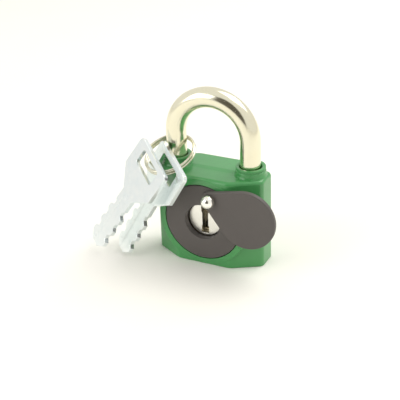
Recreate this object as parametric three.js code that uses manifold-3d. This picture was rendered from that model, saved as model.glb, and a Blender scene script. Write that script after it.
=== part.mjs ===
// A padlock with a cast eight-sided body, a round-bar shackle, a moulded weather
// cover whose shutter swings over the keyhole, and two double-bitted keys on a
// split ring round the heel leg of the shackle.
//
// Millimetres, +Z up, the keyhole faces -Y. The origin is the centre of the base.

import * as THREE from 'three';
import { mergeVertices } from 'three/addons/utils/BufferGeometryUtils.js';
import Module from 'manifold-3d';

const wasm = await Module();
wasm.setup();

// ---------------------------------------------------------------- dimensions

const GAP = 0.3; // running clearance between neighbouring pieces

const body = {
  width: 50,
  depth: 24.8,
  frontWidth: 24.4, // the flat middle of the front and of the back
  sideDepth: 10.3,
  height: 41,
  ridge: 0.4, // rise of the top to the parting line
  edge: 1.6, // rounding of the top edges
};

const platform = { radius: 20.3, proud: 0.2, edge: 0.4 };
const lockAxis = body.height / 2; // height of the keyhole axis
const frontY = -body.depth / 2;

const boss = { x: 17.4, rim: 45, rimRadius: 6.5, waistRadius: 6.2, footRadius: 7.2 };

const shackle = {
  radius: 4.5,
  legX: 17.3,
  crownZ: 55.8, // centre of the bow
  heelZ: 11,
  toeZ: 32,
  neckRadius: 3.0,
  neckLow: 15.2,
  neckHigh: 31.3,
  lift: 13.5,
};
const bore = { radius: 4.85, heelFloor: 4, toeFloor: 31, mouth: 0.4 };
const springSeat = { radius: 4.4, bore: 2.2, low: 4.3, high: 5.0 };
const spring = { radius: 3.4, wire: 0.45, turns: 3.5 };

const heelPin = { x: -shackle.legX - 4.1, z: 30, radius: 0.8, front: -3, back: 6.6, sides: 14 };

const cover = {
  radius: 17.4,
  front: frontY - 0.4,
  back: frontY + 1.5,
  mouth: 8.0, // radius of the keyhole opening
  hub: 10.2,
  hubBack: frontY + 2.6,
};
const coverPin = { radius: 1.0, ring: 14.5, angles: [160, 340], front: -11.9, back: -5.7 };

const pivot = { x: 4.7, z: lockAxis + 12.4, shank: 1.3, ball: 3.0, ballY: frontY - 4.0 };
const shutter = {
  headRadius: 3.7,
  discRadius: 13.2,
  reach: 17.7, // from the pivot to the middle of the disc
  openAngle: -21.5, // degrees from +X, as drawn
  thickness: 2.0,
  bevel: 0.4,
};
const shutterBack = cover.front - GAP;
const rivetWasher = { outer: 3.0, inner: 1.6, front: cover.back + GAP, back: cover.back + 0.8 };
const rivetHead = { radius: 2.3, thickness: 0.9, play: GAP };

const plug = { radius: 7.7, front: -9.6, back: 3.9, slotHeight: 13.2, slotWide: 3.5, slotNarrow: 2.8, waist: 3.4 };
const drive = { half: 2, length: 1 }; // the square on the plug that turns the cam
const housing = { radius: 11.4, bore: 8.1, front: -8.4, back: 2.4, grooveRadius: 10.0, grooveWidth: 6.8 };
const tumbler = { count: 5, first: -6.4, pitch: 1.8, thickness: 0.9, width: 5.4, radius: 7.4, window: 5.7, step: 0.25 };
const clip = { inner: 6.9, outer: 9.2, low: 2.75, high: 3.35 };
const cam = { radius: 5, front: 4.2, back: 6.0, pinRadius: 1.0, pinThrow: 2.26, pinBack: 7.9 };
const bolt = {
  front: 6.3,
  back: 7.8,
  plateLeft: -6.5,
  plateRight: 5.5,
  armLeft: 4.4,
  armRight: 8,
  noseLow: 33.6,
  noseHigh: 37.8,
  noseHalf: 2,
  tip: 12.2,
  travel: 3.2,
};

// Rooms cored out of the casting for the cylinder, the bolt and the bolt's nose.
const housingRoomBack = 4.6;
const boltRoom = { x0: -8, x1: 9.6, z0: lockAxis - 7, front: 4.4, back: 8.2 };
const noseRoom = { x0: 3.9, x1: 13.4, front: -2.5, z0: bolt.noseLow - 0.4, z1: bolt.noseHigh + 0.4 };

const ring = {
  at: new THREE.Vector3(-18.62, -4.18, 45.81),
  normal: new THREE.Vector3(-0.1538, -0.3681, 0.917),
  radius: 11.2,
  wire: 0.6,
  pitch: 1.4,
  turns: 2,
};

const key = {
  thickness: 2.0,
  bowHalf: 12.9,
  bowTop: 6.3,
  bowSide: -8.7, // where the straight sides end
  neckY: -16.9,
  neckHalf: 4.7,
  tipY: -47.3,
  neckLength: 6.5,
  point: 3, // length of the tapered tip
  tipHalf: 2.2,
  bladeHalf: 3.6,
  toothHalf: 5.8,
  slotHalf: 7.4,
  slotHeight: 7.4,
  slotCorner: 1.2,
  corner: 2,
};

const keyPoses = [
  {
    name: 'key_front',
    at: new THREE.Vector3(-24.02, -14.18, 42.76),
    across: new THREE.Vector3(0.7142, -0.5826, -0.3879),
    up: new THREE.Vector3(0.548, 0.1207, 0.8277),
  },
  {
    name: 'key_rear',
    at: new THREE.Vector3(-15.04, -12.93, 42.72),
    across: new THREE.Vector3(0.7127, -0.6229, -0.3225),
    up: new THREE.Vector3(0.481, 0.0993, 0.8711),
  },
];

// ----------------------------------------------------------------- materials

function finish(color, roughness, metalness) {
  return new THREE.MeshStandardMaterial({ color, roughness, metalness });
}

const greenEnamel = finish(0x067a3a, 0.25, 0.0);
const darkPlastic = finish(0x3b3634, 0.5, 0.0);
const nickel = finish(0xcfc8b8, 0.2, 1.0);
const polishedSteel = finish(0xd8d8d4, 0.25, 1.0);
const zincPlate = finish(0xc9d2d8, 0.35, 1.0);
const springSteel = finish(0x8a8a88, 0.4, 1.0);
const brass = finish(0xb89a52, 0.35, 1.0);

// ------------------------------------------------------------- solid helpers

function solid(geometry) {
  const bare = geometry.index ? geometry.toNonIndexed() : geometry.clone();
  bare.deleteAttribute('normal');
  bare.deleteAttribute('uv');
  const merged = mergeVertices(bare, 1e-4);
  const mesh = new wasm.Mesh({
    numProp: 3,
    vertProperties: new Float32Array(merged.attributes.position.array),
    triVerts: new Uint32Array(merged.index.array),
  });
  return new wasm.Manifold(mesh);
}

function geometryOf(piece) {
  const mesh = piece.getMesh();
  const geometry = new THREE.BufferGeometry();
  geometry.setAttribute('position', new THREE.BufferAttribute(mesh.vertProperties, 3));
  geometry.setIndex(new THREE.BufferAttribute(mesh.triVerts, 1));
  geometry.computeVertexNormals();
  return geometry;
}

function box(x0, x1, y0, y1, z0, z1) {
  const geometry = new THREE.BoxGeometry(x1 - x0, y1 - y0, z1 - z0);
  geometry.translate((x0 + x1) / 2, (y0 + y1) / 2, (z0 + z1) / 2);
  return solid(geometry);
}

// A cylinder along Y, from y0 to y1.
function rodY(radius, y0, y1, x, z, sides = 32) {
  const geometry = new THREE.CylinderGeometry(radius, radius, y1 - y0, sides);
  geometry.translate(x, (y0 + y1) / 2, z);
  return solid(geometry);
}

// A turned shape about a vertical axis: points are [radius, z].
function turnedZ(points, x, y, sides = 32) {
  const outline = points.map(([r, z]) => new THREE.Vector2(r, z));
  const geometry = new THREE.LatheGeometry(outline, sides);
  geometry.rotateX(Math.PI / 2);
  geometry.translate(x, y, 0);
  return solid(geometry);
}

// A turned shape about an axis along Y: points are [radius, y].
function turnedY(points, x, z, sides = 48) {
  const outline = points.map(([r, y]) => new THREE.Vector2(r, y));
  const geometry = new THREE.LatheGeometry(outline, sides);
  geometry.translate(x, 0, z);
  return solid(geometry);
}

function extruded(shape, depth, curveSegments = 12) {
  return new THREE.ExtrudeGeometry(shape, { depth, bevelEnabled: false, curveSegments });
}

// An outline in the XZ plane, given its depth from y0 to y1.
function slabY(shape, y0, y1, curveSegments) {
  const geometry = extruded(shape, y1 - y0, curveSegments);
  geometry.rotateX(Math.PI / 2);
  geometry.translate(0, y1, 0);
  return solid(geometry);
}

// An outline in the YZ plane, given its length from x0 to x1.
function slabX(shape, x0, x1, curveSegments) {
  const geometry = extruded(shape, x1 - x0, curveSegments);
  const turn = new THREE.Matrix4().makeBasis(
    new THREE.Vector3(0, 1, 0),
    new THREE.Vector3(0, 0, 1),
    new THREE.Vector3(1, 0, 0),
  );
  geometry.applyMatrix4(turn);
  geometry.translate(x0, 0, 0);
  return solid(geometry);
}

const radians = THREE.MathUtils.degToRad;

// ---------------------------------------------------------------------- body

function planOutline() {
  const x1 = body.frontWidth / 2;
  const x2 = body.width / 2;
  const y1 = body.sideDepth / 2;
  const y2 = body.depth / 2;
  const corners = [[x1, -y2], [x2, -y1], [x2, y1], [x1, y2], [-x1, y2], [-x2, y1], [-x2, -y1], [-x1, -y2]];
  return new THREE.Shape(corners.map(([x, y]) => new THREE.Vector2(x, y)));
}

// Seen from the side: rounded top edges and two slopes that meet at a low ridge.
function sideOutline() {
  const y = body.depth / 2;
  const e = body.edge;
  const top = body.height;
  const shape = new THREE.Shape();
  shape.moveTo(-y, 0);
  shape.lineTo(y, 0);
  shape.lineTo(y, top - e);
  shape.absarc(y - e, top - e, e, 0, Math.PI / 2);
  shape.lineTo(0, top + body.ridge);
  shape.lineTo(-y + e, top);
  shape.absarc(-y + e, top - e, e, Math.PI / 2, Math.PI);
  shape.closePath();
  return shape;
}

// Seen from the front: straight sides with rounded shoulders.
function frontOutline() {
  const x = body.width / 2;
  const e = body.edge;
  const top = body.height + body.ridge;
  const shape = new THREE.Shape();
  shape.moveTo(-x, 0);
  shape.lineTo(x, 0);
  shape.lineTo(x, top - e);
  shape.absarc(x - e, top - e, e, 0, Math.PI / 2);
  shape.lineTo(-x + e, top);
  shape.absarc(-x + e, top - e, e, Math.PI / 2, Math.PI);
  shape.closePath();
  return shape;
}

function bossSolid(x) {
  const { rim, rimRadius, waistRadius, footRadius } = boss;
  const top = body.height;
  return turnedZ([
    [0, top - 4],
    [footRadius - 0.3, top - 4],
    [footRadius, top + 0.3],
    [rimRadius + 0.1, top + 1.1],
    [rimRadius + 0.1, rim - 1.6],
    [waistRadius, rim - 1.4],
    [waistRadius, rim - 1.1],
    [rimRadius, rim - 0.9],
    [rimRadius, rim - 0.3],
    [rimRadius - 0.3, rim],
    [0, rim],
  ], x, 0, 28);
}

function shackleBore(x, floor) {
  const mouth = bore.radius + bore.mouth;
  return turnedZ([
    [0, floor],
    [bore.radius, floor],
    [bore.radius, boss.rim - bore.mouth],
    [mouth, boss.rim],
    [mouth, boss.rim + 1],
    [0, boss.rim + 1],
  ], x, 0, 28);
}

function bodyCasting() {
  const { radius, proud, edge } = platform;
  const top = body.height + body.ridge;
  let piece = solid(extruded(planOutline(), top));
  piece = piece.intersect(slabX(sideOutline(), -body.width, body.width, 5));
  piece = piece.intersect(slabY(frontOutline(), -body.depth, body.depth, 5));
  const raised = turnedY([
    [0, frontY - proud],
    [radius - edge, frontY - proud],
    [radius, frontY - proud + edge],
    [radius, 0],
    [0, 0],
  ], 0, lockAxis, 56);
  piece = piece.add(raised);
  piece = piece.add(bossSolid(boss.x)).add(bossSolid(-boss.x));

  const pocket = turnedY([
    [0, frontY - 2],
    [cover.radius + GAP, frontY - 2],
    [cover.radius + GAP, cover.back + GAP],
    [cover.radius - 1.1, cover.back + GAP],
    [cover.radius - 1.1, housing.front - GAP],
    [housing.radius + GAP, housing.front - GAP],
    [housing.radius + GAP, housingRoomBack],
    [0, housingRoomBack],
  ], 0, lockAxis, 48);
  piece = piece.subtract(pocket);
  piece = piece.subtract(shackleBore(-boss.x, bore.heelFloor)).subtract(shackleBore(boss.x, bore.toeFloor));
  piece = piece.subtract(box(boltRoom.x0, boltRoom.x1, boltRoom.front, boltRoom.back, boltRoom.z0, noseRoom.z1));
  const nose = box(noseRoom.x0, noseRoom.x1, noseRoom.front, boltRoom.back, noseRoom.z0, noseRoom.z1);
  piece = piece.subtract(nose);
  piece = piece.subtract(rodY(heelPin.radius + GAP, heelPin.front - GAP, body.depth, heelPin.x, heelPin.z, heelPin.sides));
  for (const angle of coverPin.angles) {
    const [x, z] = onLockCircle(coverPin.ring, angle);
    piece = piece.subtract(rodY(coverPin.radius + GAP, coverPin.front, coverPin.back + GAP, x, z, 14));
  }
  return geometryOf(piece);
}

function onLockCircle(radius, degrees) {
  const angle = radians(degrees);
  return [radius * Math.cos(angle), lockAxis + radius * Math.sin(angle)];
}

// ------------------------------------------------------------------- shackle

// Up the heel leg, round the bow and down the toe leg.
class ShackleLine extends THREE.Curve {
  constructor() {
    super();
    this.heelLength = shackle.crownZ - shackle.heelZ;
    this.bowLength = Math.PI * shackle.legX;
    this.toeLength = shackle.crownZ - shackle.toeZ;
    this.length = this.heelLength + this.bowLength + this.toeLength;
  }

  getPoint(t, target = new THREE.Vector3()) {
    const s = t * this.length;
    if (s < this.heelLength) {
      return target.set(-shackle.legX, 0, shackle.heelZ + s);
    }
    if (s > this.heelLength + this.bowLength) {
      return target.set(shackle.legX, 0, shackle.toeZ + this.length - s);
    }
    const angle = Math.PI - (s - this.heelLength) / shackle.legX;
    return target.set(shackle.legX * Math.cos(angle), 0, shackle.crownZ + shackle.legX * Math.sin(angle));
  }
}

function circleShape(radius, sides) {
  const points = [];
  for (let i = 0; i < sides; i += 1) {
    const angle = (2 * Math.PI * i) / sides;
    points.push(new THREE.Vector2(radius * Math.cos(angle), radius * Math.sin(angle)));
  }
  return new THREE.Shape(points);
}

function tube(path, radius, sides, steps) {
  return new THREE.ExtrudeGeometry(circleShape(radius, sides), { steps, bevelEnabled: false, extrudePath: path });
}

function shackleBar() {
  let piece = solid(tube(new ShackleLine(), shackle.radius, 20, 42));
  const { neckLow, neckHigh, neckRadius, radius } = shackle;
  const neck = turnedZ([
    [neckRadius, neckLow],
    [radius + 1, neckLow],
    [radius + 1, neckHigh],
    [neckRadius, neckHigh],
    [neckRadius, neckLow],
  ], -shackle.legX, 0, 24);
  piece = piece.subtract(neck);
  const notchX = shackle.legX - radius;
  const notch = box(notchX - 1, notchX + bolt.travel, -6, 6, bolt.noseLow - GAP, bolt.noseHigh + GAP);
  piece = piece.subtract(notch);
  return geometryOf(piece);
}

// A coil of round wire standing on z0, with the given turns and height.
class Coil extends THREE.Curve {
  constructor(radius, pitch, turns, start = 0) {
    super();
    Object.assign(this, { radius, pitch, turns, start });
  }

  getPoint(t, target = new THREE.Vector3()) {
    const angle = this.start + 2 * Math.PI * this.turns * t;
    const z = this.pitch * this.turns * (t - 0.5);
    return target.set(this.radius * Math.cos(angle), this.radius * Math.sin(angle), z);
  }
}

function shackleSpring() {
  const { radius, wire, turns } = spring;
  const low = springSeat.high + GAP + wire;
  const high = shackle.heelZ - GAP - wire;
  const geometry = tube(new Coil(radius, (high - low) / turns, turns), wire, 5, 42);
  geometry.translate(-shackle.legX, 0, (low + high) / 2);
  return geometry;
}

function springSeatWasher() {
  const { radius, bore: hole, low, high } = springSeat;
  const section = [[hole, low], [radius, low], [radius, high], [hole, high], [hole, low]];
  return geometryOf(turnedZ(section, -boss.x, 0, 20));
}

// ------------------------------------------------- weather cover and shutter

function weatherCover() {
  const { radius, front, back, mouth, hub, hubBack } = cover;
  let piece = turnedY([
    [mouth, front + 0.3],
    [mouth + 0.3, front],
    [radius - 0.4, front],
    [radius, front + 0.4],
    [radius, back],
    [hub, back],
    [hub, hubBack],
    [mouth, hubBack],
    [mouth, front + 0.3],
  ], 0, lockAxis, 52);
  piece = piece.subtract(rodY(pivot.shank + GAP, front - 1, back + 1, pivot.x, pivot.z, 20));
  for (const angle of coverPin.angles) {
    const [x, z] = onLockCircle(coverPin.ring, angle);
    piece = piece.subtract(rodY(coverPin.radius + GAP, coverPin.front - GAP, back + 1, x, z, 14));
  }
  return geometryOf(piece);
}

// The outline round two circles, one at the pivot and one at the disc's middle.
function shutterOutline(grow) {
  const head = shutter.headRadius + grow;
  const disc = shutter.discRadius + grow;
  const half = Math.PI / 2 - Math.asin((disc - head) / shutter.reach);
  const shape = new THREE.Shape();
  shape.absarc(0, 0, head, Math.PI - half, Math.PI + half);
  shape.absarc(shutter.reach, 0, disc, Math.PI + half, Math.PI - half + 2 * Math.PI);
  shape.closePath();
  return shape;
}

function shutterFlap() {
  const { thickness, bevel } = shutter;
  const front = shutterBack - thickness;
  const parts = [
    slabY(shutterOutline(0), front + bevel, shutterBack, 18),
    slabY(shutterOutline(-bevel), front, shutterBack, 18),
  ];
  let piece = parts[0].add(parts[1]);
  piece = piece.subtract(rodY(pivot.shank + GAP, front - 1, shutterBack + 1, 0, 0, 20));
  const geometry = geometryOf(piece);
  geometry.rotateY(-radians(shutter.openAngle));
  geometry.translate(pivot.x, 0, pivot.z);
  return geometry;
}

// A ball-headed rivet, peened over behind the cover.
function pivotRivet() {
  const { shank, ball, ballY } = pivot;
  const seat = shutterBack - shutter.thickness - GAP;
  const points = [[0, ballY - ball]];
  const seatAngle = Math.asin((seat - ballY) / ball);
  const steps = 8;
  for (let i = 1; i <= steps; i += 1) {
    const angle = -Math.PI / 2 + ((seatAngle + Math.PI / 2) * i) / steps;
    points.push([ball * Math.cos(angle), ballY + ball * Math.sin(angle)]);
  }
  points.push([shank, seat]);
  const headFront = rivetWasher.back + rivetHead.play;
  const headBack = rivetWasher.back + rivetHead.thickness;
  points.push([shank, headFront]);
  points.push([rivetHead.radius, headFront]);
  points.push([rivetHead.radius - GAP, headBack]);
  points.push([0, headBack]);
  return geometryOf(turnedY(points, pivot.x, pivot.z, 20));
}

function washer() {
  const { outer, inner, front, back } = rivetWasher;
  const points = [[inner, front], [outer, front], [outer, back], [inner, back], [inner, front]];
  return geometryOf(turnedY(points, pivot.x, pivot.z, 20));
}

// ------------------------------------------------------------- lock cylinder

function cylinderHousing() {
  const { radius, bore: hole, front, back, grooveRadius, grooveWidth } = housing;
  const section = [[hole, front], [radius, front], [radius, back], [hole, back], [hole, front]];
  let piece = turnedY(section, 0, lockAxis, 40);
  const start = tumbler.first - tumbler.thickness;
  const half = grooveWidth / 2;
  piece = piece.subtract(box(-half, half, start, back + 1, lockAxis - grooveRadius, lockAxis + grooveRadius));
  const rivetRoom = rodY(rivetWasher.outer + 0.4, front - 1, front + 0.9, pivot.x, pivot.z, 20);
  return geometryOf(piece.subtract(rivetRoom));
}

// The keyhole: wide at both ends for the bitting, narrow in the middle.
function keySlot(y0, y1) {
  const { slotHeight, slotWide, slotNarrow, waist } = plug;
  const high = slotHeight / 2;
  const wide = slotWide / 2;
  const narrow = slotNarrow / 2;
  const inner = waist - 0.3;
  const side = [[wide, -high], [wide, -waist], [narrow, -inner], [narrow, inner], [wide, waist], [wide, high]];
  const other = side.map(([x, z]) => [-x, -z]);
  const points = side.concat(other).map(([x, z]) => new THREE.Vector2(x, z + lockAxis));
  return slabY(new THREE.Shape(points), y0, y1, 1);
}

function tumblerY(index) {
  return tumbler.first + index * tumbler.pitch;
}

function lockPlug() {
  const { radius, front, back } = plug;
  const { half: square, length } = drive;
  const groove = radius - 1.1;
  const clipPlay = 0.15;
  let piece = turnedY([
    [0, front],
    [radius - 0.2, front],
    [radius, front + 0.2],
    [radius, clip.low - clipPlay],
    [groove, clip.low - clipPlay],
    [groove, clip.high + clipPlay],
    [radius, clip.high + clipPlay],
    [radius, back],
    [0, back],
  ], 0, lockAxis, 40);
  piece = piece.subtract(keySlot(front - 1, back - 1.6));
  const half = tumbler.width / 2 + GAP;
  for (let i = 0; i < tumbler.count; i += 1) {
    const y = tumblerY(i);
    const room = tumbler.thickness / 2 + GAP;
    piece = piece.subtract(box(-half, half, y - room, y + room, lockAxis - 9, lockAxis + 9));
  }
  piece = piece.add(box(-square, square, back - 0.5, back + length, lockAxis - square, lockAxis + square));
  return geometryOf(piece);
}

// A flat plate with a window that the key's two rows of bitting pass through.
function tumblerPlate(index) {
  const y = tumblerY(index);
  const half = tumbler.thickness / 2;
  const { radius, width } = tumbler;
  let piece = rodY(radius, y - half, y + half, 0, lockAxis, 32);
  piece = piece.intersect(box(-width / 2, width / 2, y - 1, y + 1, lockAxis - 8, lockAxis + 8));
  const windowHalf = tumbler.window - tumbler.step * (index % 3);
  const side = 1.8;
  piece = piece.subtract(box(-side, side, y - 1, y + 1, lockAxis - windowHalf, lockAxis + windowHalf));
  return geometryOf(piece);
}

function plugClip() {
  const { inner, outer, low, high } = clip;
  const section = [[inner, low], [outer, low], [outer, high], [inner, high], [inner, low]];
  let piece = turnedY(section, 0, lockAxis, 32);
  const mouth = 5;
  piece = piece.subtract(box(-mouth, mouth, low - 1, high + 1, lockAxis, lockAxis + outer + 1));
  return geometryOf(piece);
}

function lockCam() {
  const { radius, front, back, pinRadius, pinThrow, pinBack } = cam;
  const socket = drive.half + GAP;
  let piece = rodY(radius, front, back, 0, lockAxis, 32);
  const socketBack = plug.back + drive.length + GAP;
  piece = piece.subtract(box(-socket, socket, front - 1, socketBack, lockAxis - socket, lockAxis + socket));
  const offset = pinThrow * Math.SQRT1_2;
  piece = piece.add(rodY(pinRadius, back - 0.4, pinBack, -offset, lockAxis - offset, 16));
  return geometryOf(piece);
}

function lockingBolt() {
  const { front, back, noseLow, noseHigh, noseHalf, tip } = bolt;
  const { plateLeft, plateRight, armLeft, armRight } = bolt;
  let piece = box(plateLeft, plateRight, front, back, boltRoom.z0 + GAP, noseHigh);
  piece = piece.add(box(armLeft, armRight, -noseHalf, back, noseLow, noseHigh));
  piece = piece.add(box(armLeft, tip, -noseHalf, noseHalf, noseLow, noseHigh));
  const offset = cam.pinThrow * Math.SQRT1_2;
  const play = cam.pinRadius + 0.45;
  const low = lockAxis - cam.pinThrow - play;
  const high = lockAxis - offset + play;
  piece = piece.subtract(box(-offset - play, -offset + play, front - 1, back + 1, low, high));
  return geometryOf(piece);
}

// ------------------------------------------------------------- ring and keys

function splitRing() {
  const geometry = tube(new Coil(ring.radius, ring.pitch, ring.turns, Math.PI), ring.wire, 6, 60);
  const upright = new THREE.Vector3(0, 0, 1);
  const turn = new THREE.Quaternion().setFromUnitVectors(upright, ring.normal.clone().normalize());
  geometry.applyQuaternion(turn);
  geometry.translate(ring.at.x, ring.at.y, ring.at.z);
  return geometry;
}

// One side of the blade: [distance from the bow's middle, half width] steps.
function bitting() {
  const { bladeHalf, toothHalf, tipY, tipHalf, neckY, neckLength, neckHalf, point } = key;
  const cuts = [bladeHalf, toothHalf, bladeHalf + 0.8, toothHalf, bladeHalf + 0.4, toothHalf];
  const start = neckY - neckLength;
  const pitch = (tipY + point - start) / cuts.length;
  const steps = [[neckY, neckHalf], [start, neckHalf]];
  cuts.forEach((half, i) => {
    const from = start + pitch * i;
    steps.push([from + pitch * 0.2, half]);
    steps.push([from + pitch * 0.85, half]);
  });
  steps.push([tipY, tipHalf]);
  return steps;
}

function keyOutline() {
  const { bowHalf, bowTop, bowSide, slotHalf, slotHeight, slotCorner: r, corner } = key;
  const right = [
    [bowHalf - corner, bowTop],
    [bowHalf, bowTop - corner],
    [bowHalf, bowSide],
  ].concat(bitting().map(([y, half]) => [half, y]));
  const left = right.map(([x, y]) => [-x, y]).reverse();
  const shape = new THREE.Shape(right.concat(left).map(([x, y]) => new THREE.Vector2(x, y)));
  const slot = new THREE.Path();
  slot.absarc(slotHalf - r, slotHeight / 2 - r, r, 0, Math.PI / 2);
  slot.absarc(-slotHalf + r, slotHeight / 2 - r, r, Math.PI / 2, Math.PI);
  slot.absarc(-slotHalf + r, -slotHeight / 2 + r, r, Math.PI, 1.5 * Math.PI);
  slot.absarc(slotHalf - r, -slotHeight / 2 + r, r, 1.5 * Math.PI, 2 * Math.PI);
  slot.closePath();
  shape.holes.push(slot);
  return shape;
}

function flatKey(pose) {
  const geometry = extruded(keyOutline(), key.thickness, 3);
  geometry.translate(0, 0, -key.thickness / 2);
  const up = pose.up.clone().normalize();
  const face = pose.across.clone().cross(up).normalize();
  const across = up.clone().cross(face);
  const place = new THREE.Matrix4().makeBasis(across, up, face).setPosition(pose.at);
  geometry.applyMatrix4(place);
  return geometry;
}

// ------------------------------------------------------------------ assembly

function part(name, geometry, material) {
  const mesh = new THREE.Mesh(geometry, material.clone());
  mesh.name = name;
  return mesh;
}

const padlock = new THREE.Group();
padlock.add(part('body_casting', bodyCasting(), greenEnamel));
padlock.add(part('shackle', shackleBar(), nickel));
padlock.add(part('shackle_spring', shackleSpring(), springSteel));
padlock.add(part('spring_seat', springSeatWasher(), springSteel));
const retainer = rodY(heelPin.radius, heelPin.front, heelPin.back, heelPin.x, heelPin.z, heelPin.sides);
padlock.add(part('heel_pin', geometryOf(retainer), springSteel));
padlock.add(part('weather_cover', weatherCover(), darkPlastic));
coverPin.angles.forEach((angle, i) => {
  const [x, z] = onLockCircle(coverPin.ring, angle);
  const pin = rodY(coverPin.radius, coverPin.front, coverPin.back, x, z, 14);
  padlock.add(part(`cover_pin_${i + 1}`, geometryOf(pin), springSteel));
});
padlock.add(part('shutter_flap', shutterFlap(), darkPlastic));
padlock.add(part('pivot_rivet', pivotRivet(), polishedSteel));
padlock.add(part('rivet_washer', washer(), springSteel));
padlock.add(part('cylinder_housing', cylinderHousing(), brass));
padlock.add(part('lock_plug', lockPlug(), polishedSteel));
for (let i = 0; i < tumbler.count; i += 1) {
  padlock.add(part(`tumbler_plate_${i + 1}`, tumblerPlate(i), brass));
}
padlock.add(part('plug_clip', plugClip(), springSteel));
padlock.add(part('lock_cam', lockCam(), springSteel));
padlock.add(part('locking_bolt', lockingBolt(), springSteel));
padlock.add(part('split_ring', splitRing(), nickel));
for (const pose of keyPoses) {
  padlock.add(part(pose.name, flatKey(pose), zincPlate));
}

export default padlock;
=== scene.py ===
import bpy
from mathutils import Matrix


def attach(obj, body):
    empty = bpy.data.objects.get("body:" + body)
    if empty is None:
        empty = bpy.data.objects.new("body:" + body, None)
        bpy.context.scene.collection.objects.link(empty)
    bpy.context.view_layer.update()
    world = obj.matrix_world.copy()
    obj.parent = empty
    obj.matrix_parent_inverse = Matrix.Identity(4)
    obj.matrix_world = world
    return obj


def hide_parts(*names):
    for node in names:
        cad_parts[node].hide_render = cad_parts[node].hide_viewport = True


bl_info = {
    "name": "Padlock with Shutter and Keys",
    "version": (1, 0, 0),
    "blender": (4, 5, 0),
    "location": "View3D > Sidebar > Padlock",
    "description": "Builds an enamelled padlock, its keyhole shutter, and two keys on a split ring",
    "category": "Object",
}

import math

import bmesh
import bpy
from mathutils import Matrix, Vector

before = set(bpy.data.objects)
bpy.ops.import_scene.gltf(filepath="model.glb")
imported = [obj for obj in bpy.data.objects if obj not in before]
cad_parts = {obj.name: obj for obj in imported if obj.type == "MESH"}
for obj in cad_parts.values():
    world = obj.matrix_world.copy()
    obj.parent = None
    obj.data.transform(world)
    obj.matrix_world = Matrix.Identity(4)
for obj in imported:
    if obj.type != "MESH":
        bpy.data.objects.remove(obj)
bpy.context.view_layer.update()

MM = 0.001
WELD = 0.002 * MM  # vertices closer than this are one
CLEAR = 1  # how far a cutter stands out of what it cuts, in millimetres
X, Y, Z = Vector((1, 0, 0)), Vector((0, 1, 0)), Vector((0, 0, 1))


# ---------------------------------------------------------------- sizes


def number(name, value, description, **kind):
    """A property that holds one number."""
    return bpy.props.FloatProperty(name=name, description=description, default=value, **kind)


def vector(name, value, description, **kind):
    """A property that holds three numbers."""
    return bpy.props.FloatVectorProperty(name=name, description=description, default=value, **kind)


def length(name, millimetres, description):
    """A length that is shown in the scene's unit."""
    return number(name, millimetres * MM, description, unit="LENGTH", precision=5)


def angle(name, degrees, description):
    """An angle that is shown in degrees."""
    return number(name, math.radians(degrees), description, subtype="ANGLE")


def point(name, millimetres, description):
    """A place in the scene."""
    value = [c * MM for c in millimetres]
    return vector(name, value, description, subtype="TRANSLATION", unit="LENGTH")


def colour(name, value, description):
    """A colour with no alpha."""
    return vector(name, value, description, subtype="COLOR", size=3, min=0, max=1)


class BodySizes(bpy.types.PropertyGroup):
    width: length("Width", 50, "Body width from side to side")
    depth: length("Depth", 24.8, "Body depth from front flat to back flat")
    height: length("Height", 41, "Height of the body's shoulders")
    flat: length("Front flat", 24.4, "Width of the flat middle of the front and back")
    side: length("Side flat", 10.3, "Depth of the flat sides")
    ridge: length("Ridge", 0.4, "Rise of the top to its middle line")
    top_round: length("Top rounding", 1.6, "How far the rounding reaches from the top edges")
    edge_round: length("Edge rounding", 1.5, "How far the rounding reaches from the upright edges")
    foot_round: length("Foot rounding", 0.5, "How far the rounding reaches from the bottom edges")
    lock_height: length("Keyhole height", 20.5, "Height of the keyhole's middle")
    platform: length("Platform radius", 20.3, "Radius of the raised round platform")
    platform_proud: length("Platform rise", 0.2, "How far the platform stands out")
    boss: length("Boss radius", 6.5, "Radius of the rims round the shackle legs")
    boss_x: length("Boss offset", 17.4, "Distance of each boss from the middle")
    boss_top: length("Boss height", 45, "Height of the rims round the shackle legs")
    bore: length("Bore radius", 4.85, "Radius of the shackle bores")


class ShackleSizes(bpy.types.PropertyGroup):
    radius: length("Bar radius", 4.44, "Radius of the shackle bar")
    leg: length("Leg offset", 17.3, "Distance of each leg from the middle")
    crown: length("Bow centre", 55.8, "Height of the middle of the bow")
    heel: length("Heel end", 11, "Height of the long leg's end")
    toe: length("Toe end", 32, "Height of the short leg's end")
    neck: length("Neck radius", 3, "Radius of the long leg's neck")


class CoverSizes(bpy.types.PropertyGroup):
    radius: length("Radius", 17.4, "Radius of the weather cover")
    front: length("Front", -12.8, "Place of the cover's front face")
    back: length("Back", -10.9, "Place of the cover's back face")
    mouth: length("Mouth", 8, "Radius of the keyhole opening")
    hub: length("Hub", 10.2, "Radius of the collar behind the opening")
    hub_back: length("Hub back", -9.8, "Place of the collar's back face")
    pivot_x: length("Pivot across", 4.7, "Place of the shutter's pivot, across")
    pivot_z: length("Pivot height", 32.9, "Height of the shutter's pivot")
    shank: length("Shank", 1.3, "Radius of the pivot rivet's shank")
    ball: length("Ball", 3, "Radius of the rivet's ball head")
    ball_y: length("Ball place", -16.4, "Place of the ball's middle, front to back")
    head: length("Flap head", 3.7, "Radius of the flap round its pivot")
    disc: length("Flap disc", 13.2, "Radius of the flap's disc")
    reach: length("Flap reach", 17.7, "Pivot to the middle of the disc")
    flap_back: length("Flap back", -13.1, "Place of the flap's back face")
    flap_front: length("Flap front", -15.1, "Place of the flap's front face")
    open_angle: angle("Open angle", -21.5, "Direction of the open flap, from the cross axis")


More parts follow.
